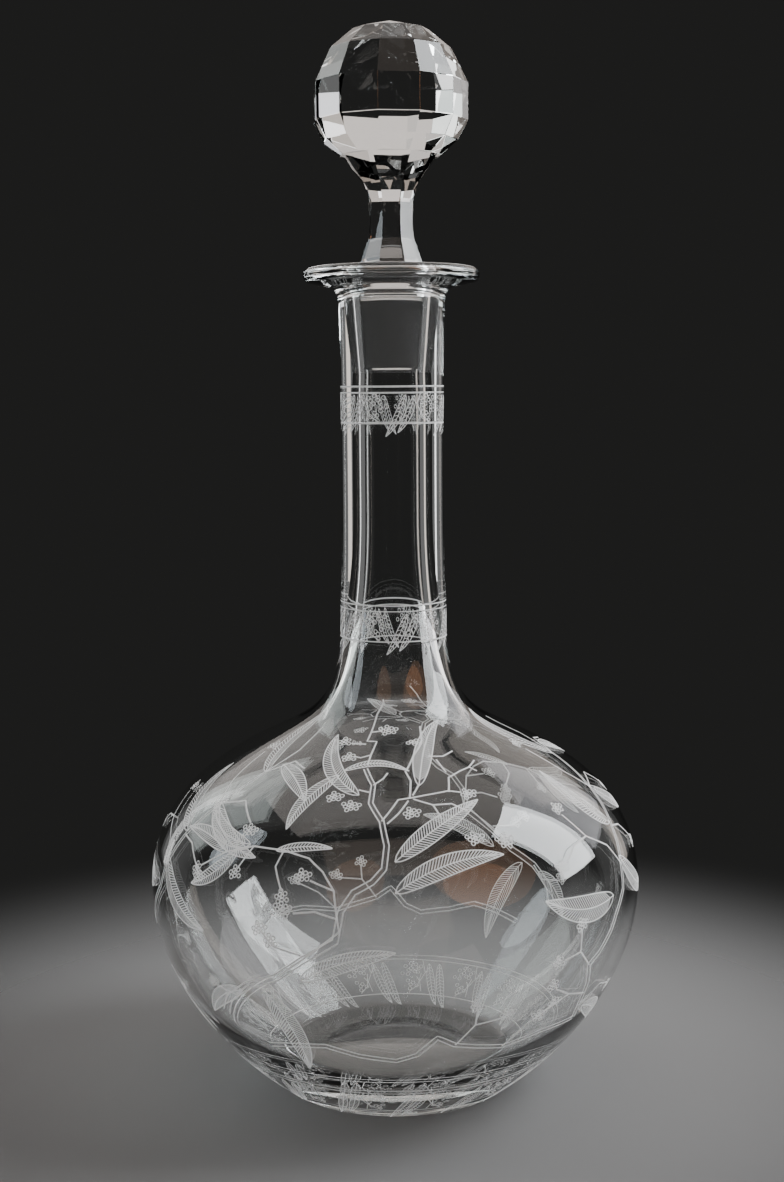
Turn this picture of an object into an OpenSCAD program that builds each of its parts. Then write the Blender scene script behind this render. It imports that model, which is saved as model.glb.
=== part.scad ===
// Wine decanter of clear glass, with a globe body, a long thick-walled neck and a wide tooled lip.
// It is closed by a solid cut-glass stopper: a faceted ball on a faceted stem, over a smooth
// conical plug that is ground to fit the neck. Axis along +Z, standing on the plane z = 0.

/* [Globe] */
// Widest diameter of the globe
belly_d = 141; // [130:1:150]
// Height of the widest point of the globe
belly_z = 58; // [54:1:62]
// Diameter of the ring that the bottle stands on, outside
foot_d = 72.4; // [64:0.2:78]
// Radius of the shoulder where its curve turns from full to hollow
shoulder_r = 28.7; // [26:0.1:31]
// Height of that turn
shoulder_z = 104.8; // [102:0.1:108]
// Thickness of the glass round the globe
wall_t = 2.8; // [2:0.1:4]
// Extra thickness of the glass at the edge of the base
base_extra = 3.4; // [1:0.1:4]
// Height of the inside floor at the axis
floor_z = 8; // [6:0.5:10]
// Diameter of the ground hollow under the base
hollow_d = 47; // [30:1:52]
// Depth of that hollow at the axis
hollow_h = 2.4; // [1:0.1:3.5]

/* [Neck and lip] */
// Height of the foot of the neck
neck_z = 139.6; // [136:0.1:144]
// Diameter at the foot of the neck
neck_foot_d = 30.2; // [29.5:0.1:32]
// Diameter of the neck at its waist
neck_d = 29; // [28:0.1:29.4]
// Height of the waist of the neck
waist_z = 182; // [170:1:188]
// Height of the top of the lip
lip_z = 233; // [228:0.5:238]
// Diameter of the lip
lip_d = 49.6; // [44:0.2:56]
// Thickness of the rounded rim of the lip
lip_t = 4.2; // [3.6:0.1:4.8]
// Diameter of the blown bore below the ground seat
bore_d = 15; // [14.8:0.1:16]

/* [Ground fit] */
// Diameter of the plug at its top edge
plug_d = 19.3; // [18.8:0.1:20]
// Fall of the diameter for each millimetre down the plug
taper = 0.153; // [0.14:0.001:0.16]
// Length of the plug
plug_len = 29.4; // [24:0.2:31]
// Height that the top edge of the plug stands above the lip
plug_rise = 1; // [0.4:0.1:2]
// Radial gap between the plug and its seat
ground_gap = 0.03; // [0.02:0.01:0.08]

/* [Stopper] */
// Height of the point of the stopper
top_z = 300; // [299:0.5:304]
// Radius of the cut ball, to its corners
ball_r = 22.3; // [21.8:0.1:23]
// Facets round the ball
ball_facets = 12; // [8:1:12]
// Flats round the stem
stem_flats = 8; // [6:1:10]
// Radius of the stem at its waist, to its corners
stem_r = 6.4; // [5.6:0.1:7]

/* [Hidden] */

ball_z = top_z - ball_r;
plug_top_z = lip_z + plug_rise;
plug_end_z = plug_top_z - plug_len;
seat_end_z = plug_end_z - 1;
lip_round = lip_t / 2;
mouth_round = 0.8;
// Azimuth of one corner of the ball, and of one corner of the stem
ball_turn = 21.4;
stem_turn = 24;
// Slope of the shoulder at its turn, from the horizontal
shoulder_slope = 27.7;
turn_fine = 96;

// Points of one cubic curve between p0 and p3, without its first point
function curve(p0, p1, p2, p3, steps) = [
    for (i = [1:steps])
        let (t = i / steps, s = 1 - t)
        s * s * s * p0 + 3 * s * s * t * p1 + 3 * s * t * t * p2 + t * t * t * p3
];

// Points of a round about the centre c, from angle a to angle b
function arc(c, r, a, b, steps) = [
    for (i = [0:steps])
        let (w = a + (b - a) * i / steps)
        [c[0] + r * cos(w), c[1] + r * sin(w)]
];

// Radius of the plug at height z, and of its seat
function plug_r(z) = plug_d / 2 - taper / 2 * (plug_top_z - z);
function seat_r(z) = plug_r(z) + ground_gap;

// Direction of the shoulder line at its turn, going up and in
shoulder_dir = [-cos(shoulder_slope), sin(shoulder_slope)];
belly_r = belly_d / 2;
foot_r = foot_d / 2;
heel = [foot_r, 0.6];
belly = [belly_r, belly_z];
shoulder = [shoulder_r, shoulder_z];
neck_foot = [neck_foot_d / 2, neck_z];

// Outside of the globe: heel to belly, belly to shoulder, shoulder to the foot of the neck
heel_curve = curve(heel, heel + [19.9, 15.1], belly - [0, 20.3], belly, 16);
globe_curve = curve(belly, belly + [0, 29.5], shoulder - 17.4 * shoulder_dir, shoulder, 16);
shoulder_curve = curve(
    shoulder, shoulder + 14.4 * shoulder_dir, neck_foot - [0, 18.1], neck_foot, 10
);

// Outside of the neck, down to its waist and up to the lip
neck_waist = [neck_d / 2, waist_z];
neck_top = [neck_d / 2 + 0.55, lip_z - 8.7];
neck_curve = concat(
    curve(neck_foot, [neck_d / 2, neck_z + 12], neck_waist - [0, 16], neck_waist, 6),
    curve(neck_waist, neck_waist + [0, 22], neck_top - [0.3, 6], neck_top, 6)
);

// Lip: a small bead where it joins the neck, a sloping underside, a rounded rim and a flat top
lip_r = lip_d / 2;
lip_centre = [lip_r - lip_round, lip_z - lip_round];
bead = [neck_d / 2 + 2.1, lip_z - 5.9];
mouth_r = seat_r(lip_z - mouth_round);
lip_curve = concat(
    curve(neck_top, neck_top + [0.2, 1.6], bead - [0.7, 0.3], bead, 3),
    curve(bead, bead + [0.4, 0.2], bead + [0.5, 0.6], bead + [1.3, 0.7], 3),
    arc(lip_centre, lip_round, -75, 90, 12),
    arc([mouth_r + mouth_round, lip_z - mouth_round], mouth_round, 90, 180, 4)
);

// Inside of the neck: ground seat, a slight widening below it, and the blown bore
bore_r = bore_d / 2;
bore_end_z = 165;
seat_curve = [
    [seat_r(seat_end_z), seat_end_z],
    [bore_r, seat_end_z - 5],
    [bore_r, bore_end_z]
];

// Thickness of the globe at height z: it grows towards the base
function wall(z) = wall_t + base_extra * pow(max(0, 1 - z / 32), 2);

// The point p of a curve moved in by the local wall, square to the line from a to b
function inward(p, a, b) =
    let (d = (b - a) / norm(b - a))
    p + wall(p[1]) * [-d[1], d[0]];

// Inside of the globe, from the shoulder down to the floor
outer_globe = concat([heel], heel_curve, globe_curve);
last = len(outer_globe) - 1;
inner_globe = [
    for (i = [last:-1:0])
        inward(outer_globe[i], outer_globe[max(i - 1, 0)], outer_globe[min(i + 1, last)])
];
inner_shoulder = inner_globe[0];
inner_heel = inner_globe[last];
inner_shoulder_curve = curve(
    [bore_r, bore_end_z], [bore_r, 128], inner_shoulder + 16 * shoulder_dir, inner_shoulder, 12
);
floor_curve = curve(
    inner_heel, inner_heel + [-6, -0.6], [12, floor_z], [0, floor_z], 6
);

// Underside: the ground hollow, and the flat ring round it
hollow_r = hollow_d / 2;
hollow_sphere = (hollow_r * hollow_r + hollow_h * hollow_h) / (2 * hollow_h);
hollow_angle = asin(hollow_r / hollow_sphere);
underside = arc([0, hollow_h - hollow_sphere], hollow_sphere, 90, 90 - hollow_angle, 8);

bottle_outline = concat(
    underside,
    arc([foot_r - 0.9, 0.9], 0.9, -90, -20, 4),
    heel_curve,
    globe_curve,
    shoulder_curve,
    neck_curve,
    lip_curve,
    seat_curve,
    inner_shoulder_curve,
    [for (i = [1:last]) inner_globe[i]],
    floor_curve
);

// Blown bottle: globe, neck and lip in one piece of glass
module bottle() {
    color([0.86, 0.89, 0.89, 0.4])
    rotate_extrude($fn = turn_fine) polygon(bottle_outline);
}

// A turned shape cut with flat facets: the outline's radii are those of its corners
module cut_turn(outline, sides, azimuth) {
    rotate([0, 0, azimuth])
    rotate_extrude($fn = sides) polygon(outline);
}

// One corner ring of the ball, at a latitude
function ball_ring(lat) = [ball_r * cos(lat), ball_z + ball_r * sin(lat)];

// Cut ball: rows of flat facets that meet in a point, drawn in under the belly
ball_under = [[18.9, ball_z - 10.2], [14.2, ball_z - 14.1]];
module ball() {
    cut_turn(
        concat(
            [[0, top_z], ball_ring(61), ball_ring(39.5), ball_ring(13), ball_ring(-13)],
            ball_under,
            [[0, ball_z - 15.4]]
        ),
        ball_facets, ball_turn
    );
}

// Cut stem: rows of flat facets spread it below into a foot just inside the plug's edge,
// and above into the ball
ledge = 0.3;
stem_foot = [plug_d / 2 - ledge, plug_top_z];
stem_low = [[stem_r + 1.75, plug_top_z + 3.4], [stem_r + 0.45, plug_top_z + 6.8]];
stem_waist = [stem_r, plug_top_z + 11.5];
stem_high = [[stem_r + 0.25, ball_z - 26.1], [stem_r + 1.75, ball_z - 21.5], [stem_r + 5.1, ball_z - 17.2]];
stem_head = [13.9, ball_z - 14];
module stem() {
    cut_turn(
        concat(
            [[0, plug_top_z - 0.6], stem_foot - [0.3, 0.6], stem_foot],
            stem_low,
            [stem_waist],
            stem_high,
            [stem_head, [0, ball_z - 13.4]]
        ),
        stem_flats, stem_turn
    );
}

// Smooth plug, a plain cone with a small bevel at its end
plug_bevel = 0.5;
module plug() {
    rotate_extrude($fn = turn_fine)
    polygon([
        [0, plug_end_z],
        [plug_r(plug_end_z) - plug_bevel, plug_end_z],
        [plug_r(plug_end_z + plug_bevel), plug_end_z + plug_bevel],
        [plug_d / 2, plug_top_z],
        [0, plug_top_z]
    ]);
}

// Solid cut-glass stopper: ball, stem and plug in one piece of glass
module stopper() {
    color([0.93, 0.95, 0.96, 0.5])
    union() {
        ball();
        stem();
        plug();
    }
}

bottle();
stopper();
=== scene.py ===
# Wine decanter: the looks of the bottle, its cut stopper and its engraving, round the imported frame.
# Lengths in the shape code are millimetres, and become metres when a mesh is made.
# Azimuths are measured from the front (-Y), growing towards the right (+X).
import math

import bmesh
import bpy
import numpy as np
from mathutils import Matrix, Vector


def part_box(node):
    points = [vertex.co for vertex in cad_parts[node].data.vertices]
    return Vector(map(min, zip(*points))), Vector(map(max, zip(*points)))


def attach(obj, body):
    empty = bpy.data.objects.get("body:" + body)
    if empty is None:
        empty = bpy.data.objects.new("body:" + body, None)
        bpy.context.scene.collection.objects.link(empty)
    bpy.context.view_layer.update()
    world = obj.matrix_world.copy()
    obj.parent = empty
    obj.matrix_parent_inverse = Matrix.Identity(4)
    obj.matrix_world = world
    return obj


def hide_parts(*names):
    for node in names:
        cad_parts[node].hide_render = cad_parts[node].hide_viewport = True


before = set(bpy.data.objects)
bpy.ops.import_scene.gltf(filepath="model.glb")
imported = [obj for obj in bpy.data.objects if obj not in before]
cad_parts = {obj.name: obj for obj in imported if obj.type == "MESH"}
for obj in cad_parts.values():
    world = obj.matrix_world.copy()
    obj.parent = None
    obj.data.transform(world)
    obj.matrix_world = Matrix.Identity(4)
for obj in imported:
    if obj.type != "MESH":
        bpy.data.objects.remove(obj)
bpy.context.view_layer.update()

MM = 0.001
BOTTLE_SEGMENTS = 192
PLUG_SEGMENTS = 96

# ---------------------------------------------------------------- driving sizes, from the frame
bottle_low, bottle_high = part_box("bottle")
stopper_low, stopper_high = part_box("stopper")
BELLY_R = (bottle_high[0] - bottle_low[0]) / 2 / MM
LIP_Z = bottle_high[2] / MM
TOP_Z = stopper_high[2] / MM
PLUG_END_Z = stopper_low[2] / MM

# ---------------------------------------------------------------- sizes that the frame doesn't name
BELLY_Z = 58.0
FOOT_R = 36.2
# The shoulder's turn from full to hollow, as (radius, height), and the slope of the glass there
SHOULDER = np.array([28.7, 104.8])
SHOULDER_SLOPE = math.radians(27.7)
# The wall of the globe, and what it gains at the edge of the base
WALL = 2.8
BASE_EXTRA = 3.4
FLOOR_Z = 8.0
# The ground hollow under the base
HOLLOW_R = 23.5
HOLLOW_H = 2.4
NECK_FOOT = np.array([15.1, 139.6])
NECK_R = 14.5
WAIST_Z = 182.0
LIP_R = 24.8
LIP_T = 4.2
MOUTH_ROUND = 0.8
BORE_R = 7.5
BORE_END_Z = 165.0
PLUG_RISE = 1.0
PLUG_TOP_R = 9.65
PLUG_TOP_Z = LIP_Z + PLUG_RISE
PLUG_BEVEL = 0.5
# Fall of the plug's radius for each millimetre down
PLUG_FALL = 0.0765
GROUND_GAP = 0.03
BALL_R = 22.3
BALL_Z = TOP_Z - BALL_R
STEM_R = 6.4


def plug_r(z):
    """Radius of the ground plug at height z."""
    return PLUG_TOP_R - PLUG_FALL * (PLUG_TOP_Z - z)


def curve(p0, p1, p2, p3, steps):
    """Points of one cubic curve, without its first point."""
    p0, p1, p2, p3 = (np.asarray(p, float) for p in (p0, p1, p2, p3))
    t = np.linspace(0, 1, steps + 1)[1:, None]
    s = 1 - t
    return s**3 * p0 + 3 * s * s * t * p1 + 3 * s * t * t * p2 + t**3 * p3


def arc(centre, radius, start, end, steps):
    """Points of a round about a centre, between two angles in degrees."""
    a = np.radians(np.linspace(start, end, steps + 1))
    return np.stack([centre[0] + radius * np.cos(a), centre[1] + radius * np.sin(a)], 1)


# ---------------------------------------------------------------- outline of the bottle
shoulder_dir = np.array([-math.cos(SHOULDER_SLOPE), math.sin(SHOULDER_SLOPE)])
heel = np.array([FOOT_R, 0.6])
belly = np.array([BELLY_R, BELLY_Z])
neck_waist = np.array([NECK_R, WAIST_Z])
neck_top = np.array([NECK_R + 0.55, LIP_Z - 8.7])
bead = np.array([NECK_R + 2.1, LIP_Z - 5.9])

outer_globe = np.vstack([
    [heel],
    curve(heel, heel + [19.9, 15.1], belly - [0, 20.3], belly, 44),
    curve(belly, belly + [0, 29.5], SHOULDER - 17.4 * shoulder_dir, SHOULDER, 44),
])
outer_neck = np.vstack([
    curve(SHOULDER, SHOULDER + 14.4 * shoulder_dir, NECK_FOOT - [0, 18.1], NECK_FOOT, 26),
    curve(NECK_FOOT, [NECK_R, NECK_FOOT[1] + 12], neck_waist - [0, 16], neck_waist, 12),
    curve(neck_waist, neck_waist + [0, 22], neck_top - [0.3, 6], neck_top, 14),
])
SKIN = np.vstack([outer_globe, outer_neck])


def bottle_outline():
    """Outline of the glass: from the axis under the base, up the outside and down the inside."""
    sphere = (HOLLOW_R**2 + HOLLOW_H**2) / (2 * HOLLOW_H)
    half = math.degrees(math.asin(HOLLOW_R / sphere))
    underside = arc((0, HOLLOW_H - sphere), sphere, 90, 90 - half, 12)
    foot_round = arc((FOOT_R - 0.9, 0.9), 0.9, -90, -20, 6)
    lip_mid = (LIP_R - LIP_T / 2, LIP_Z - LIP_T / 2)
    mouth_r = plug_r(LIP_Z - MOUTH_ROUND) + GROUND_GAP
    lip = np.vstack([
        curve(neck_top, neck_top + [0.2, 1.6], [NECK_R + 1.4, LIP_Z - 6.2], bead, 8),
        curve(bead, bead + [0.4, 0.2], bead + [0.5, 0.6], bead + [1.3, 0.7], 6),
        arc(lip_mid, LIP_T / 2, -75, 90, 26),
        arc((mouth_r + MOUTH_ROUND, LIP_Z - MOUTH_ROUND), MOUTH_ROUND, 90, 180, 8),
    ])
    seat_end = PLUG_END_Z - 1
    bore = np.array([
        [plug_r(seat_end) + GROUND_GAP, seat_end],
        [BORE_R, seat_end - 5],
        [BORE_R, BORE_END_Z + 20],
        [BORE_R, BORE_END_Z],
    ])
    direction = np.gradient(outer_globe, axis=0)
    direction /= np.linalg.norm(direction, axis=1)[:, None]
    wall = WALL + BASE_EXTRA * np.maximum(0, 1 - outer_globe[:, 1] / 32) ** 2
    inner = outer_globe + wall[:, None] * np.stack([-direction[:, 1], direction[:, 0]], 1)
    inner = inner[::-1]
    throat = curve(bore[-1], (BORE_R, 128), inner[0] + 16 * shoulder_dir, inner[0], 30)
    floor = curve(inner[-1], inner[-1] + [-6, -0.6], (12, FLOOR_Z), (0, FLOOR_Z), 14)
    outside = [underside, foot_round, outer_globe[1:], outer_neck]
    return np.vstack([*outside, lip, bore, throat, inner[1:], floor])


# ---------------------------------------------------------------- mesh helpers
def new_object(name, verts, faces, smooth=True):
    """A mesh object from vertices in millimetres."""
    mesh = bpy.data.meshes.new(name)
    mesh.from_pydata([tuple(v * MM) for v in np.asarray(verts, float)], [], faces)
    mesh.validate()
    bm = bmesh.new()
    bm.from_mesh(mesh)
    bmesh.ops.recalc_face_normals(bm, faces=bm.faces)
    bm.to_mesh(mesh)
    bm.free()
    for face in mesh.polygons:
        face.use_smooth = smooth
    piece = bpy.data.objects.new(name, mesh)
    bpy.context.scene.collection.objects.link(piece)
    return piece


def lathe(name, outline, segments, wobble=None):
    """Turns an outline that starts and ends on the axis into a closed skin."""
    ring = outline[1:-1]
    a = np.linspace(0, 2 * math.pi, segments, endpoint=False)
    verts = [np.array([0, 0, outline[0][1]]), np.array([0, 0, outline[-1][1]])]
    for index, (r, z) in enumerate(ring):
        shift = wobble(index, a, r, z) if wobble else 0
        verts.extend(np.stack([(r + shift) * np.sin(a), -(r + shift) * np.cos(a), np.full_like(a, z)], 1))
    faces = []
    count = len(ring)
    for j in range(segments):
        k = (j + 1) % segments
        faces.append((0, 2 + j, 2 + k))
        faces.append((1, 2 + (count - 1) * segments + k, 2 + (count - 1) * segments + j))
        for i in range(count - 1):
            low, high = 2 + i * segments, 2 + (i + 1) * segments
            faces.append((low + j, high + j, high + k, low + k))
    return new_object(name, verts, faces)


def set_sharp(piece, degrees):
    """Marks edges sharper than an angle, so that smooth shading stops there."""
    bm = bmesh.new()
    bm.from_mesh(piece.data)
    limit = math.radians(degrees)
    for edge in bm.edges:
        edge.smooth = len(edge.link_faces) != 2 or edge.calc_face_angle(0) < limit
    bm.to_mesh(piece.data)
    bm.free()


def apply_modifiers(piece):
    """Bakes a piece's modifiers into its mesh."""
    graph = bpy.context.evaluated_depsgraph_get()
    done = bpy.data.meshes.new_from_object(piece.evaluated_get(graph))
    piece.modifiers.clear()
    piece.data = done


# ---------------------------------------------------------------- materials
def material(name):
    """A new material and its Principled node."""
    made = bpy.data.materials.new(name)
    made.use_nodes = True
    return made, made.node_tree, made.node_tree.nodes["Principled BSDF"]


def add_bump(tree, shader, height, strength, distance):
    """Feeds a height into the shader's normal."""
    bump = tree.nodes.new("ShaderNodeBump")
    bump.inputs["Strength"].default_value = strength
    bump.inputs["Distance"].default_value = distance
    tree.links.new(height, bump.inputs["Height"])
    tree.links.new(bump.outputs["Normal"], shader.inputs["Normal"])


def noise(tree, scale, detail, stretch=(1, 1, 1)):
    """Noise in the piece's own coordinates."""
    coords = tree.nodes.new("ShaderNodeTexCoord")
    mapping = tree.nodes.new("ShaderNodeMapping")
    mapping.inputs["Scale"].default_value = stretch
    texture = tree.nodes.new("ShaderNodeTexNoise")
    texture.inputs["Scale"].default_value = scale
    texture.inputs["Detail"].default_value = detail
    tree.links.new(coords.outputs["Object"], mapping.inputs["Vector"])
    tree.links.new(mapping.outputs["Vector"], texture.inputs["Vector"])
    return texture.outputs["Fac"]


def glass(name, tint, index, wave_scale, wave_strength, stretch, density):
    """Clear glass with faint waves left by the blowing or the polishing."""
    made, tree, shader = material(name)
    shader.inputs["Base Color"].default_value = (*tint, 1)
    shader.inputs["Roughness"].default_value = 0.0
    shader.inputs["IOR"].default_value = index
    shader.inputs["Transmission Weight"].default_value = 1.0
    add_bump(tree, shader, noise(tree, wave_scale, 2, stretch), wave_strength, 0.001)
    absorb = tree.nodes.new("ShaderNodeVolumeAbsorption")
    absorb.inputs["Color"].default_value = (0.78, 0.86, 0.84, 1)
    absorb.inputs["Density"].default_value = density
    tree.links.new(absorb.outputs["Volume"], tree.nodes["Material Output"].inputs["Volume"])
    return made


def frosted(name, colour, alpha, through, painted_glow, grain):
    """Matte white of cut or ground glass: grainy and letting light through, with a painted glow
    (emission) that stands in for light scattered inside the glass.
    """
    made, tree, shader = material(name)
    shader.inputs["Roughness"].default_value = 0.7
    shader.inputs["IOR"].default_value = 1.3
    shader.inputs["Alpha"].default_value = alpha
    shader.inputs["Transmission Weight"].default_value = through
    shader.inputs["Emission Color"].default_value = (*colour, 1)
    # Painted light: this emission makes the matte cuts glow, though they are no lamp.
    shader.inputs["Emission Strength"].default_value = painted_glow
    ramp = tree.nodes.new("ShaderNodeMapRange")
    ramp.inputs["To Min"].default_value = 0.8
    ramp.inputs["To Max"].default_value = 1.0
    tree.links.new(noise(tree, grain, 3), ramp.inputs["Value"])
    mix = tree.nodes.new("ShaderNodeMix")
    mix.data_type = "RGBA"
    # Sockets 6 and 7 are the two colours, and 0 is the share of the second
    mix.inputs[6].default_value = (0.6, 0.61, 0.62, 1)
    mix.inputs[7].default_value = (*colour, 1)
    tree.links.new(ramp.outputs["Result"], mix.inputs[0])
    tree.links.new(mix.outputs[2], shader.inputs["Base Color"])
    add_bump(tree, shader, noise(tree, grain, 3), 0.4, 0.0001)
    return made


bottle_glass = glass("bottle_glass", (0.985, 0.99, 0.988), 1.51, 28, 0.008, (1, 1, 0.08), 5.0)
stopper_glass = glass("stopper_glass", (0.99, 0.99, 0.99), 1.54, 60, 0.012, (1, 1, 1), 3.0)
# The fifth argument of each is a painted glow: emission standing in for light scattered in the frosted
# glass.
cut_line = frosted("engraved_line", (1.0, 1.0, 1.0), 0.95, 0.4, 0.16, 2600)
cut_haze = frosted("engraved_haze", (0.95, 0.96, 0.97), 0.055, 0.4, 0.05, 1800)
ground_skin = frosted("ground_skin", (0.95, 0.96, 0.98), 0.035, 0.3, 0.02, 900)


# ---------------------------------------------------------------- ground joint
# Thickness of a frosted ring, and how deep it lies under the surface of its glass
GROUND_SKIN = 0.05
GROUND_DEPTH = 0.02


def ground_ring(name, gap, low, high):
    """A thin frosted ring inside the glass, a gap outside the plug's surface."""
    rows = np.linspace(low, high, 12)
    inner = [(plug_r(z) + gap, z) for z in rows]
    outer = [(plug_r(z) + gap + GROUND_SKIN, z) for z in reversed(rows)]
    loop = inner + outer
    segments = PLUG_SEGMENTS
    a = np.linspace(0, 2 * math.pi, segments, endpoint=False)
    verts = []
    for r, z in loop:
        verts.extend(np.stack([r * np.sin(a), -r * np.cos(a), np.full_like(a, z)], 1))
    faces = []
    for i in range(len(loop)):
        here = i * segments
        there = ((i + 1) % len(loop)) * segments
        for j in range(segments):
            k = (j + 1) % segments
            faces.append((here + j, here + k, there + k, there + j))
    piece = new_object(name, verts, faces)
    set_sharp(piece, 30)
    piece.data.materials.append(ground_skin)
    return piece


# ---------------------------------------------------------------- bottle
def blown_wobble(inside_from):
    """Slight waves on the inside of the globe, as in hand-blown glass, fading out up the shoulder."""
    depth = 0.12
    flat_r = 7
    fade_top, fade_span = 120, 30

    def shift(index, a, r, z):
        if index < inside_from or r < flat_r:
            return 0
        fade = min(1, max(0, (fade_top - z) / fade_span))
        waves = 0.6 * np.sin(2 * a + z / 23) + 0.4 * np.sin(3 * a - z / 15)
        return -depth * fade * (1 + waves)

    return shift


outline = bottle_outline()
past_lip = 20
inside_start = int(np.argmax(outline[:, 1])) + past_lip
bottle = lathe("bottle_blown_glass", outline, BOTTLE_SEGMENTS, blown_wobble(inside_start))
set_sharp(bottle, 28)
bottle.data.materials.append(bottle_glass)
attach(bottle, "bottle")
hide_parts("bottle")

socket = ground_ring("ground_socket", GROUND_GAP + GROUND_DEPTH, PLUG_END_Z - 0.8, LIP_Z - 1.2)
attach(socket, "bottle")

# ---------------------------------------------------------------- stopper
BALL_FACETS = 12
STEM_FLATS = 8
# Azimuth of one corner of the ball, and of one corner of the stem
BALL_TURN = math.radians(-8.6)
STEM_TURN = math.radians(-21)


def ring_points(radius, z, count, turn):
    """Corners of one ring, by azimuth from the front."""
    a = turn + 2 * math.pi * np.arange(count) / count
    return np.stack([radius * np.sin(a), -radius * np.cos(a), np.full(count, z)], 1)


def stack(name, outline, count, turn, ring=ring_points):
    """A closed solid through rings that share their corners' azimuths. Its ends are on the axis."""
    rings = [ring(r, z, count, turn) for r, z in outline[1:-1]]
    per = len(rings[0])
    verts = [np.array([0, 0, outline[0][1]]), np.array([0, 0, outline[-1][1]])]
    for points in rings:
        verts.extend(points)
    faces = []
    last = 2 + (len(rings) - 1) * per
    for j in range(per):
        k = (j + 1) % per
        faces.append((0, 2 + j, 2 + k))
        faces.append((1, last + k, last + j))
        for i in range(len(rings) - 1):
            low, high = 2 + i * per, 2 + (i + 1) * per
            faces.append((low + j, high + j, high + k, low + k))
    return new_object(name, verts, faces, smooth=False)


def hollow_ring(radius, z, count, turn):
    """A ring of flats that the wheel has left very slightly hollow, with ridges between them."""
    per_flat = 6
    hollow = 0.012
    step = 2 * math.pi / count
    points = []
    for flat in range(count):
        for i in range(per_flat):
            u = i / per_flat - 0.5
            chord = radius * math.cos(step / 2) / math.cos(u * step)
            r = chord - hollow * radius * (1 - 4 * u * u)
            a = turn + step * (flat + 0.5 + u)
            points.append((r * math.sin(a), -r * math.cos(a), z))
    return np.array(points)


def ball_ring(latitude):
    """Radius and height of the ball's corners at a latitude."""
    a = math.radians(latitude)
    return (BALL_R * math.cos(a), BALL_Z + BALL_R * math.sin(a))


def join_solids(base, others):
    """Unites solids into one closed skin."""
    for other in others:
        union = base.modifiers.new("union", "BOOLEAN")
        union.operation = "UNION"
        union.solver = "EXACT"
        union.object = other
    apply_modifiers(base)
    for other in others:
        bpy.data.objects.remove(other, do_unlink=True)


def soften_edges(piece, width):
    """Takes a narrow polished bevel off every edge of a solid."""
    bm = bmesh.new()
    bm.from_mesh(piece.data)
    edges = [edge for edge in bm.edges if edge.calc_face_angle(0) > math.radians(4)]
    bmesh.ops.bevel(bm, geom=edges, offset=width * MM, segments=1, profile=0.5, affect="EDGES")
    bm.to_mesh(piece.data)
    bm.free()


def cut_ball():
    """The ball: rows of flat facets that meet in a point, drawn in under its belly."""
    ball_outline = [
        (0, TOP_Z), ball_ring(61), ball_ring(39.5), ball_ring(13), ball_ring(-13),
        (18.9, BALL_Z - 10.2), (14.2, BALL_Z - 14.1), (0, BALL_Z - 15.4),
    ]
    ball = stack("stopper_cut_glass", ball_outline, BALL_FACETS, BALL_TURN)
    soften_edges(ball, 0.1)
    return ball


def cut_stem():
    """The stem: rows of flats that spread below into a foot and above into the ball."""
    foot_r = PLUG_TOP_R - 0.3
    stem_outline = [
        (0, PLUG_TOP_Z - 0.6), (foot_r - 0.3, PLUG_TOP_Z - 0.6), (foot_r, PLUG_TOP_Z),
        (STEM_R + 1.75, PLUG_TOP_Z + 3.4), (STEM_R + 0.45, PLUG_TOP_Z + 6.8), (STEM_R, PLUG_TOP_Z + 11.5),
        (STEM_R + 0.25, BALL_Z - 26.1), (STEM_R + 1.75, BALL_Z - 21.5), (STEM_R + 5.1, BALL_Z - 17.2),
        (13.9, BALL_Z - 14), (0, BALL_Z - 13.4),
    ]
    return stack("stem", stem_outline, STEM_FLATS, STEM_TURN, hollow_ring)


def turned_plug():
    """The ground plug: a plain cone with a small bevel at its end."""
    bevel_z = PLUG_END_Z + PLUG_BEVEL
    plug_outline = np.array([
        [0, PLUG_END_Z], [plug_r(PLUG_END_Z) - PLUG_BEVEL, PLUG_END_Z],
        [plug_r(bevel_z), bevel_z], [PLUG_TOP_R, PLUG_TOP_Z], [0, PLUG_TOP_Z],
    ])
    return lathe("plug", plug_outline, PLUG_SEGMENTS)


stopper = cut_ball()
join_solids(stopper, [cut_stem(), turned_plug()])
ball_foot_z = BALL_Z - 13.9
for face in stopper.data.polygons:
    face.use_smooth = face.center.z < ball_foot_z * MM
    face.material_index = 0
set_sharp(stopper, 8)
stopper.data.materials.clear()
stopper.data.materials.append(stopper_glass)
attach(stopper, "stopper")
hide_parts("stopper")

plug_gap = -GROUND_DEPTH - GROUND_SKIN
ground_plug = ground_ring("ground_plug", plug_gap, PLUG_END_Z + 0.8, PLUG_TOP_Z - 0.3)
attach(ground_plug, "stopper")

# ---------------------------------------------------------------- engraving
# How far the cut lines and the matte patches stand proud of the glass, and are let into it
LINE_PROUD = 0.04
LINE_SUNK = 0.08
HAZE_PROUD = 0.012
HAZE_SUNK = 0.03
# Turn between two berries of a cluster, in radians: the golden angle packs them evenly
GOLDEN_ANGLE = 2.39996


def skin_point(azimuth, z):
    """Points on the outside of the glass, from azimuths in degrees and heights."""
    a, z = np.broadcast_arrays(np.radians(np.asarray(azimuth, float)), np.asarray(z, float))
    r = np.interp(z, SKIN[:, 1], SKIN[:, 0])
    return np.stack([r * np.sin(a), -r * np.cos(a), z], -1)


def skin_normal(points):
    """Outward normals of the glass at points on it."""
    z = points[..., 2]
    reach = 0.4
    above = np.interp(z + reach, SKIN[:, 1], SKIN[:, 0])
    below = np.interp(z - reach, SKIN[:, 1], SKIN[:, 0])
    slope = (above - below) / (2 * reach)
    size = np.sqrt(1 + slope**2)
    r = np.hypot(points[..., 0], points[..., 1])
    return np.stack([points[..., 0] / r / size, points[..., 1] / r / size, -slope / size], -1)


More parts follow.
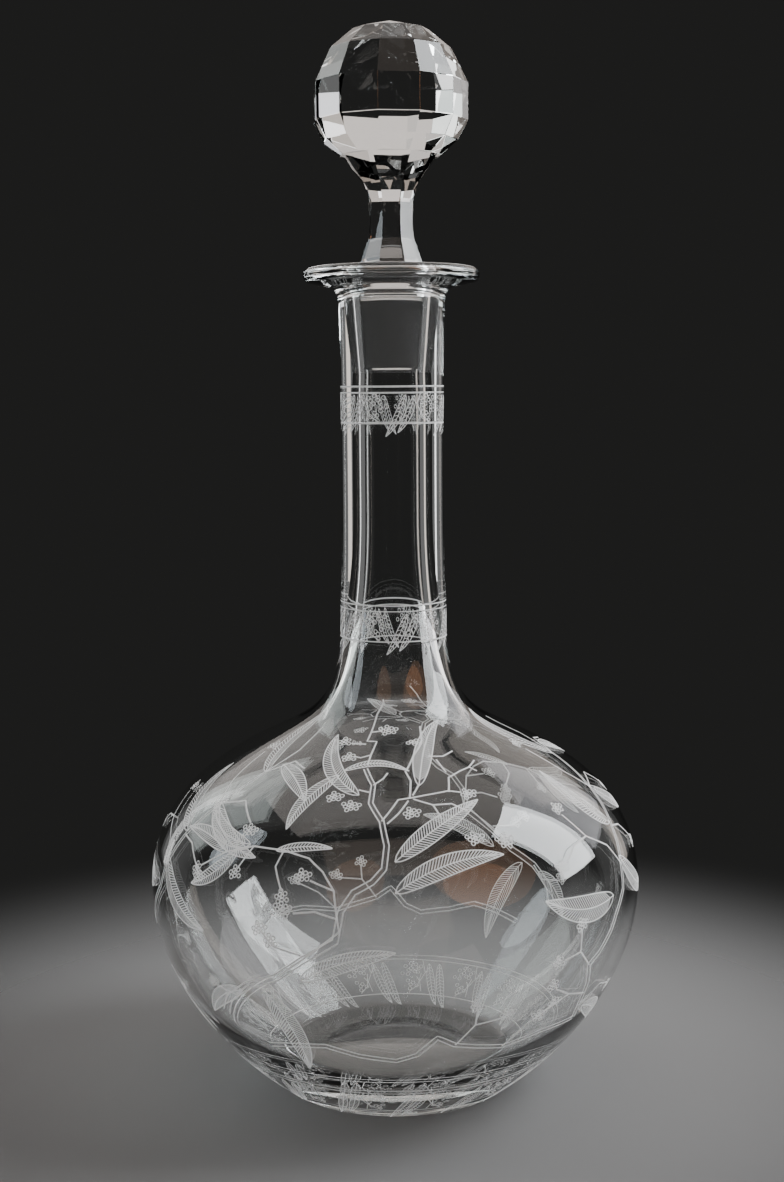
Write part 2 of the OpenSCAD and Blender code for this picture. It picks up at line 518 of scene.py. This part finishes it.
def snap(points):
    """Moves points near the glass onto it, along its normal."""
    for _ in range(3):
        r = np.hypot(points[..., 0], points[..., 1])
        off = r - np.interp(points[..., 2], SKIN[:, 1], SKIN[:, 0])
        normal = skin_normal(points)
        level = np.hypot(normal[..., 0], normal[..., 1])
        points = points - normal * (off * level)[..., None]
    return points


def along(points, step=1.2):
    """Even samples on the glass along a path of (azimuth, height) points."""
    points = np.asarray(points, float)
    out = [skin_point(*points[0])]
    for a, b in zip(points[:-1], points[1:]):
        span = np.linalg.norm(skin_point(*b) - skin_point(*a))
        for t in np.linspace(0, 1, max(2, int(math.ceil(span / step)) + 1))[1:]:
            out.append(skin_point(*(a + (b - a) * t)))
    return np.array(out)


def sideways(path, closed=False):
    """Unit vectors across a path on the glass."""
    if closed:
        ahead = np.roll(path, -1, 0) - np.roll(path, 1, 0)
    else:
        ahead = np.gradient(path, axis=0)
    across = np.cross(skin_normal(path), ahead)
    return across / np.linalg.norm(across, axis=1)[:, None]


class Graver:
    """Collects the cuts of one engraved piece: fine lines, and the haze of matte patches."""

    def __init__(self):
        self.verts, self.faces, self.kinds = [], [], []

    def add(self, verts, faces, kind):
        """Adds one cut. Kind 0 is a line and kind 1 is haze, as in the piece's material slots."""
        start = sum(len(v) for v in self.verts)
        self.verts.append(np.asarray(verts))
        self.faces.extend(tuple(start + i for i in face) for face in faces)
        self.kinds.extend([kind] * len(faces))

    def line(self, path, width, closed=False):
        """A fine cut along a path: a ridge that is let into the glass."""
        count = len(path)
        half = np.broadcast_to(np.asarray(width, float) / 2, (count,))[:, None]
        across = sideways(path, closed)
        normal = skin_normal(path)
        corners = [
            path - across * half, path + normal * LINE_PROUD,
            path + across * half, path - normal * LINE_SUNK,
        ]
        verts = np.stack(corners, 1).reshape(-1, 3)
        faces = []
        for i in range(count if closed else count - 1):
            a, b = 4 * i, 4 * ((i + 1) % count)
            faces.extend((a + k, b + k, b + (k + 1) % 4, a + (k + 1) % 4) for k in range(4))
        if not closed:
            end = 4 * (count - 1)
            faces.append((0, 1, 2, 3))
            faces.append((end + 3, end + 2, end + 1, end))
        self.add(verts, faces, 0)

    def patch(self, left, right):
        """A thin matte slab between two edges."""
        across = 5
        t = np.linspace(0, 1, across)[None, :, None]
        grid = snap(left[:, None] * (1 - t) + right[:, None] * t)
        normal = skin_normal(grid)
        rows = len(left)
        size = rows * across
        verts = np.concatenate([
            (grid + normal * HAZE_PROUD).reshape(-1, 3), (grid - normal * HAZE_SUNK).reshape(-1, 3),
        ])
        faces = []
        for i in range(rows - 1):
            for j in range(across - 1):
                a = i * across + j
                quad = (a, a + 1, a + across + 1, a + across)
                faces.append(quad)
                faces.append(tuple(size + k for k in reversed(quad)))
        rim = list(range(across))
        rim += [i * across + across - 1 for i in range(1, rows)]
        rim += [(rows - 1) * across + j for j in range(across - 2, -1, -1)]
        rim += [i * across for i in range(rows - 2, 0, -1)]
        for a, b in zip(rim, rim[1:] + rim[:1]):
            faces.append((a, size + a, size + b, b))
        self.add(verts, faces, 1)

    def leaf(self, base, tip, width, bend, pitch=0.9, fine=0.34, ground=True):
        """A hatched leaf: outline, midrib, slanting veins and a matte ground."""
        t = np.linspace(0, 1, 26)
        base, tip = np.array(base, float), np.array(tip, float)
        path = skin_point(base[0] + (tip[0] - base[0]) * t, base[1] + (tip[1] - base[1]) * t)
        length = np.linalg.norm(np.diff(path, axis=0), axis=1).sum()
        path = snap(path + sideways(path) * (bend * length * 4 * t * (1 - t))[:, None])
        side = sideways(path)
        base_taper, tip_taper = 0.62, 0.85
        shape = t**base_taper * (1 - t) ** tip_taper
        half = (width / 2 * shape / shape.max())[:, None]
        left, right = snap(path - side * half), snap(path + side * half)
        self.line(left, fine)
        self.line(right, fine)
        self.line(path, fine)
        if ground:
            self.patch(left[1:-1], right[1:-1])
        slant = 0.75
        lead = slant * width / 2 / length
        for s in np.arange(0.07, 0.9, pitch / length):
            root = self.between(path, s)
            for edge in (left, right):
                end = self.between(edge, min(0.99, s + lead))
                vein = snap(root + (end - root) * np.linspace(0, 1, 4)[:, None])
                self.line(vein, 0.86 * fine)

    @staticmethod
    def between(path, s):
        """The point of a path at a share of its samples."""
        at = s * (len(path) - 1)
        i = min(int(at), len(path) - 2)
        return path[i] + (path[i + 1] - path[i]) * (at - i)

    def branch(self, points, width, tip_width):
        """A stem with two cut edges and a matte middle, narrowing to its tip."""
        path = along(points)
        half = np.linspace(width, tip_width, len(path))[:, None] / 2
        side = sideways(path)
        left, right = snap(path - side * half), snap(path + side * half)
        self.line(left, 0.4)
        self.line(right, 0.4)
        self.patch(left, right)

    def twig(self, points, width=0.5):
        """A thin stem, one cut wide."""
        self.line(along(points, 1.0), width)

    def berries(self, centre, count, size=0.55, gap=1.25, squash=0.75, fine=0.32):
        """A cluster of ring-cut berries, packed about a centre."""
        origin = skin_point(*centre)
        normal = skin_normal(origin)
        east = np.cross([0, 0, 1], normal)
        east /= np.linalg.norm(east)
        north = np.cross(normal, east)
        turn = np.linspace(0, 2 * math.pi, 9)[:-1]
        for i in range(count):
            reach = gap * 0.62 * math.sqrt(i)
            a = i * GOLDEN_ANGLE
            middle = origin + east * reach * math.cos(a) + north * reach * math.sin(a) * squash
            circle = east * np.cos(turn)[:, None] + north * np.sin(turn)[:, None]
            self.line(snap(middle + size * circle), fine, closed=True)

    def ring(self, z, width):
        """A line cut all the way round the bottle."""
        self.line(skin_point(np.arange(0, 360, 2.0), z), width, closed=True)

    def piece(self, name):
        """Makes the engraved piece, which rides on the bottle."""
        made = new_object(name, np.concatenate(self.verts), self.faces, smooth=False)
        made.data.materials.append(cut_line)
        made.data.materials.append(cut_haze)
        made.data.polygons.foreach_set("material_index", self.kinds)
        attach(made, "bottle")
        return made


def turned(points, turn):
    """Turns (azimuth, height) points round the bottle."""
    return [(turn + a, z) for a, z in points]


# The front spray. Points are (azimuth in degrees, height), leaves are (base, tip, width, bend),
# and clusters are (middle, berries)
MAIN_STEM = [(-44, 35), (-41, 40), (-34, 46), (-26, 50), (-20, 55.5), (-12.5, 61.5), (-11.5, 69),
             (-9, 73.5), (-5, 76), (-2.5, 79), (-2, 84), (-3.5, 89), (-7, 92.5), (-7, 96), (-11, 99)]
LOW_STEM = [(-33, 27.5), (-24, 29.5), (-17, 30.5), (-9, 28), (0, 26.5), (5, 28.5), (9.5, 34), (14, 31),
            (20, 29.5), (27, 28), (38, 30), (50, 30)]
FRONT_TWIGS = [
    [(-3.5, 89), (1, 93.2), (10, 94), (17, 94.5), (21, 94)],
    [(5.5, 93.3), (11, 92), (16.5, 92), (20.5, 90.3)],
    [(11, 92), (12.5, 89.5)],
    [(17, 94.3), (19, 97), (24.5, 98), (29, 98.5), (33.5, 99.6)],
    [(19, 98), (17.5, 100.5)],
    [(29, 98.5), (31, 97.6)],
    [(-2, 88.5), (1, 90.5), (4, 93)],
    [(4.5, 93.4), (5.5, 96.8), (4, 98.6)],
    [(4.5, 98.8), (8.5, 101.6), (12, 103), (14.5, 104.3), (16.5, 107.2)],
    [(14.5, 101.2), (21, 101), (27, 101.8)],
    [(8, 96), (5.5, 94)],
    [(-10.6, 99.6), (-10.4, 101.6), (-9.2, 104.2), (-14.3, 104.2), (-13.4, 107), (-12.6, 110),
     (-8.5, 113)],
    [(-10.4, 101.6), (-14.5, 101), (-18, 101.2)],
    [(-14.3, 103.6), (-22, 103.6)],
    [(-13.6, 106), (-7, 106.4)],
    [(-7, 96), (-4, 97.2), (-2.5, 98.3)],
    [(-8, 94.6), (-11.5, 95)],
    [(-26, 50), (-18, 57.6), (-11.7, 63.9), (-13.3, 73.7), (-16.3, 77.8), (-20.2, 80.5), (-27, 81.6),
     (-35.6, 81.4)],
    [(-13.3, 73.7), (-19, 75.6)],
    [(-12, 67), (-17.2, 68.4), (-22, 67.5)],
    [(-27, 81.6), (-28, 77.8), (-25.3, 72.4)],
    [(-20, 57), (-26.3, 58.4), (-29, 61.5)],
    [(-35.6, 81.4), (-43.2, 78.8), (-50, 74)],
    [(-35.6, 81.4), (-38, 76)],
    [(-34, 46), (-38, 42), (-44, 43)],
    [(14, 31), (18, 37), (25, 38)],
    [(18, 37), (18, 42)],
    [(27, 28), (32, 34), (38, 38)],
]
FRONT_LEAVES = [
    ((-11, 94), (-33, 105), 4.9, 0.07),
    ((-19, 98.4), (5.4, 98.6), 2.4, 0.20),
    ((-20, 97.5), (-28.5, 86), 4.4, -0.12),
    ((8, 95.8), (30.5, 108), 4.9, 0.12),
    ((0, 80.5), (25, 92.3), 5.4, 0.07),
    ((0, 73.5), (26, 80.5), 5.6, 0.10),
    ((-20.5, 50), (0, 59), 4.8, 0.06),
    ((-30, 46), (-24, 21), 6.4, 0.10),
    ((-36.8, 81.6), (-58, 88), 4.6, 0.10),
    ((-43, 78.8), (-62, 81), 4.2, -0.08),
    ((-40, 79.5), (-52, 69), 4.2, 0.08),
    ((-29, 81.3), (-15, 83), 2.4, 0.06),
    ((-36, 44), (-50, 33), 4.8, -0.08),
]
FRONT_BERRIES = [
    ((-26, 103.8), 8), ((-19.5, 101), 8), ((-3.5, 106.5), 10), ((-18.5, 93.4), 9), ((-12.5, 91.8), 10),
    ((10, 104), 6), ((4.5, 90.6), 9), ((22.8, 93.6), 9), ((20, 84.6), 10), ((27.5, 83.4), 12),
    ((-21, 76.5), 9), ((-24.5, 68.2), 11), ((-25, 71.2), 8), ((-30, 62.5), 9), ((-27, 59.8), 8),
    ((-38.4, 74.8), 8), ((-51, 73), 8), ((-45, 44), 9), ((25.5, 39), 9), ((18, 43), 8), ((38.5, 39), 9),
]
# The side spray, which hangs over the shoulder and meets the low stem
SIDE_STEM = [(50, 30), (49.5, 35), (49.5, 41), (48, 47), (51.5, 49.5), (55.5, 54), (58, 58), (62.5, 63.5),
             (64, 70), (68, 79), (74, 88), (80, 96)]
SIDE_TWIGS = [
    [(64, 70), (60, 76), (53, 80), (49, 86)],
    [(53, 80), (47, 79), (43, 76)],
    [(68, 79), (73, 78), (79, 73)],
    [(74, 88), (69, 93), (66, 99)],
    [(74, 88), (83, 90), (90, 86)],
    [(80, 96), (84, 101), (82, 106)],
    [(80, 96), (88, 99), (95, 98)],
    [(48, 47), (44, 52), (44, 58)],
    [(44, 52), (39, 51)],
    [(49.5, 38), (43, 40), (36, 37)],
    [(43, 40), (38, 43)],
    [(49.5, 34), (57, 38), (63, 36)],
]
SIDE_LEAVES = [
    ((57, 63.5), (34, 68), 7.2, 0.09),
    ((64, 72), (84, 58), 5.8, -0.10),
    ((68, 80), (57, 95), 5.4, 0.10),
    ((74, 88), (96, 79), 5.4, -0.08),
    ((80, 96), (70, 109), 4.6, 0.10),
    ((84, 98), (103, 92), 5.0, 0.10),
    ((52, 33), (69, 22), 6.0, 0.08),
]
SIDE_BERRIES = [
    ((49, 87.5), 9), ((41, 75), 10), ((80, 71.5), 9), ((66, 100.5), 8), ((91, 84.5), 10),
    ((44, 59.5), 9), ((37.5, 51), 8), ((35, 36), 11), ((37, 44.5), 8), ((64, 35), 9),
]


def spray(name, stems, twigs, leaves, clusters, turn=0):
    """Engraves one spray of the vine."""
    graver = Graver()
    for points, width, tip_width in stems:
        graver.branch(turned(points, turn), width, tip_width)
    for points in twigs:
        graver.twig(turned(points, turn))
    for base, tip, width, bend in leaves:
        graver.leaf(*turned([base, tip], turn), width, bend)
    for centre, count in clusters:
        graver.berries(*turned([centre], turn), count)
    return graver.piece(name)


# A spray is its stems as (points, width, width at the tip), then twigs, leaves and clusters
FRONT = ([(MAIN_STEM, 2.0, 1.0), (LOW_STEM, 1.4, 1.2)], FRONT_TWIGS, FRONT_LEAVES, FRONT_BERRIES)
SIDE = ([(SIDE_STEM, 1.5, 0.8)], SIDE_TWIGS, SIDE_LEAVES, SIDE_BERRIES)
# The back spray goes without the two large leaves, because the glass is clear there
BACK_LEAVES = FRONT_LEAVES[:4] + FRONT_LEAVES[6:]
BACK = (FRONT[0], FRONT_TWIGS, BACK_LEAVES, FRONT_BERRIES)
spray("engraved_vine_front", *FRONT)
spray("engraved_vine_right", *SIDE)
spray("engraved_vine_back", *BACK, turn=172)
spray("engraved_vine_left", *SIDE, turn=-130)


# One repeat of a band, in points of (share of the repeat, share of the height)
BAND_LEAVES = [((0.24, 0.92), (-0.12, -0.42)), ((0.42, 0.90), (0.10, -0.30))]
BAND_TWIGS = [
    [(0.54, 0.98), (0.47, 0.62), (0.55, 0.36), (0.50, 0.08)],
    [(0.47, 0.62), (0.40, 0.78)],
    [(0.55, 0.36), (0.62, 0.50)],
    [(-0.46, 0.60), (-0.42, 0.24), (-0.26, 0.06)],
    [(-0.30, 0.96), (-0.26, 0.78)],
]
BAND_BERRIES = [((-0.22, 0.68), 7), ((-0.28, 0.26), 5), ((0.60, 0.74), 4)]


def band(name, low, high, double_gap, repeats, leaf_width, berry):
    """A band of slanting leaves, twigs and berries between ring lines."""
    vein_pitch = 1.25
    fine = 0.2
    graver = Graver()
    graver.ring(high, 0.36)
    graver.ring(high - double_gap, 0.28)
    graver.ring(low, 0.34)
    step = 360 / repeats
    tall = high - double_gap - low
    for k in range(repeats):
        def place(point):
            return ((k + point[0]) * step, low + point[1] * tall)

        for base, tip in BAND_LEAVES:
            graver.leaf(place(base), place(tip), leaf_width, 0.05, vein_pitch, fine, ground=False)
        for points in BAND_TWIGS:
            graver.twig([place(point) for point in points], 0.26)
        for centre, count in BAND_BERRIES:
            graver.berries(place(centre), count, berry, berry * 2.8, 1, fine)
    return graver.piece(name)


band("engraved_band_neck_top", 189.9, 200.1, 1.7, 6, 2.0, 0.55)
band("engraved_band_neck_foot", 129.3, 139.4, 1.6, 6, 2.1, 0.55)
band("engraved_band_base", 4.0, 14.0, 1.2, 16, 2.5, 0.6)

# ---------------------------------------------------------------- stage, light and camera
def floor_material():
    """Plain pale matte floor with a painted pool of light round the decanter: it fades out into the dark
    backdrop away from it.
    """
    made, tree, shader = material("floor")
    shader.inputs["Base Color"].default_value = (0.22, 0.22, 0.222, 1)
    shader.inputs["Roughness"].default_value = 0.9
    shader.inputs["Specular IOR Level"].default_value = 0.15
    coords = tree.nodes.new("ShaderNodeTexCoord")
    length = tree.nodes.new("ShaderNodeVectorMath")
    length.operation = "LENGTH"
    tree.links.new(coords.outputs["Object"], length.inputs[0])
    # Painted pool of light: the floor's alpha falls off with distance from the middle, so it darkens into
    # the backdrop.
    fade = tree.nodes.new("ShaderNodeMapRange")
    fade.interpolation_type = "SMOOTHERSTEP"
    fade.inputs["From Min"].default_value = 0.05
    fade.inputs["From Max"].default_value = 0.26
    fade.inputs["To Min"].default_value = 1.0
    fade.inputs["To Max"].default_value = 0.0
    tree.links.new(length.outputs["Value"], fade.inputs["Value"])
    tree.links.new(fade.outputs["Result"], shader.inputs["Alpha"])
    return made


def disc(name, radius, sides=96):
    """A flat round sheet on the ground, in metres."""
    turns = [2 * math.pi * i / sides for i in range(sides)]
    verts = [(radius * math.sin(a), radius * math.cos(a), 0) for a in turns]
    mesh = bpy.data.meshes.new(name)
    mesh.from_pydata(verts, [], [tuple(reversed(range(sides)))])
    piece = bpy.data.objects.new(name, mesh)
    bpy.context.scene.collection.objects.link(piece)
    return piece


floor = disc("floor", 0.6)
floor.data.materials.append(floor_material())


def softbox(name, place, target, width, height, radiance, colour=(1, 1, 1), shape="RECTANGLE"):
    """A flat soft light that faces a point, with the same brightness all over."""
    lamp = bpy.data.lights.new(name, "AREA")
    lamp.shape = shape
    lamp.size = width
    lamp.size_y = height
    share = math.pi / 4 if shape == "ELLIPSE" else 1
    lamp.energy = math.pi * share * width * height * radiance
    lamp.color = colour
    piece = bpy.data.objects.new(name, lamp)
    piece.location = place
    piece.rotation_euler = (Vector(target) - Vector(place)).to_track_quat("-Z", "Y").to_euler()
    piece.visible_camera = False
    bpy.context.scene.collection.objects.link(piece)
    return piece


# Places, targets and sizes of the lamps are in metres
MIDDLE = (0, 0, 0.15)
# The pale ceiling behind and above, which the ball and the lip gather
softbox("ceiling_back_left", (-0.85, 1.15, 1.0), (-0.85, 0, 0), 0.85, 1.0, 0.84, (1.0, 0.93, 0.88))
softbox("ceiling_back", (0.0, 1.15, 1.0), (0, 0, 0), 0.85, 1.0, 0.98, (1.0, 0.91, 0.85))
softbox("ceiling_back_right", (0.85, 1.15, 1.0), (0.85, 0, 0), 0.85, 1.0, 0.76, (1.0, 0.9, 0.82))
softbox("ceiling_top", (0.0, 0.28, 1.6), (0, 0, 0), 2.2, 1.1, 0.92, (1.0, 0.92, 0.87))
# Panels and narrow strips behind, which draw the pale sides of the globe and the lines in the neck
softbox("back_left_panel", (-1.0, 0.75, 0.85), MIDDLE, 0.8, 1.0, 1.6, (0.9, 0.98, 0.96))
softbox("back_right_panel", (1.0, 0.75, 0.85), MIDDLE, 0.8, 1.0, 1.6, (0.96, 0.96, 1.0))
softbox("strip_left", (-0.9, 0.9, 0.4), MIDDLE, 0.07, 1.0, 2.4)
softbox("strip_right", (0.9, 0.9, 0.4), MIDDLE, 0.2, 1.0, 1.0, (1.0, 0.89, 0.8))
# The two windows that the globe reflects
softbox("window_right", (0.92, 0.1, 0.7), MIDDLE, 0.5, 0.95, 11, (0.95, 0.98, 1.0))
softbox("softbox_left", (-1.15, 0.1, 0.72), MIDDLE, 0.36, 0.8, 3.5, (0.85, 0.94, 1.0), "ELLIPSE")
# The warm room in front of the decanter, which shows in reflections only
warm_cards = [
    softbox("warm_card_left", (-0.34, -0.94, 0.7), MIDDLE, 0.5, 0.9, 0.8, (1.0, 0.5, 0.25), "ELLIPSE"),
    softbox("warm_card_right", (0.78, -0.73, 0.8), MIDDLE, 1.1, 1.3, 0.9, (1.0, 0.5, 0.25), "ELLIPSE"),
    softbox("warm_card_front", (0.62, -0.72, 0.56), MIDDLE, 0.6, 0.62, 1.5, (1.0, 0.44, 0.2), "ELLIPSE"),
]
for card in warm_cards:
    card.visible_transmission = False
    card.visible_diffuse = False
# Faint fill from the front and from low down behind
softbox("ceiling_front", (0.0, -0.95, 1.5), (0, 0, 0.25), 1.8, 0.9, 0.45, (1.0, 0.82, 0.7))
softbox("low_left_panel", (-1.0, 0.75, 0.13), MIDDLE, 0.8, 0.45, 0.14)
softbox("low_right_panel", (1.0, 0.75, 0.13), MIDDLE, 0.8, 0.45, 0.14)

world = bpy.data.worlds.new("studio")
bpy.context.scene.world = world
world.use_nodes = True
world.node_tree.nodes["Background"].inputs["Color"].default_value = (0.016, 0.016, 0.0155, 1)
world.node_tree.nodes["Background"].inputs["Strength"].default_value = 1.0

camera_data = bpy.data.cameras.new("camera")
camera_data.sensor_fit = "VERTICAL"
camera_data.sensor_height = 36
camera_data.lens = 50
camera_data.clip_start = 0.01
camera = bpy.data.objects.new("camera", camera_data)
camera.location = (0.0, -0.4676, 0.1992)
camera.rotation_euler = (math.radians(90 - 7.0), math.radians(0.38), 0)
bpy.context.scene.collection.objects.link(camera)
bpy.context.scene.camera = camera
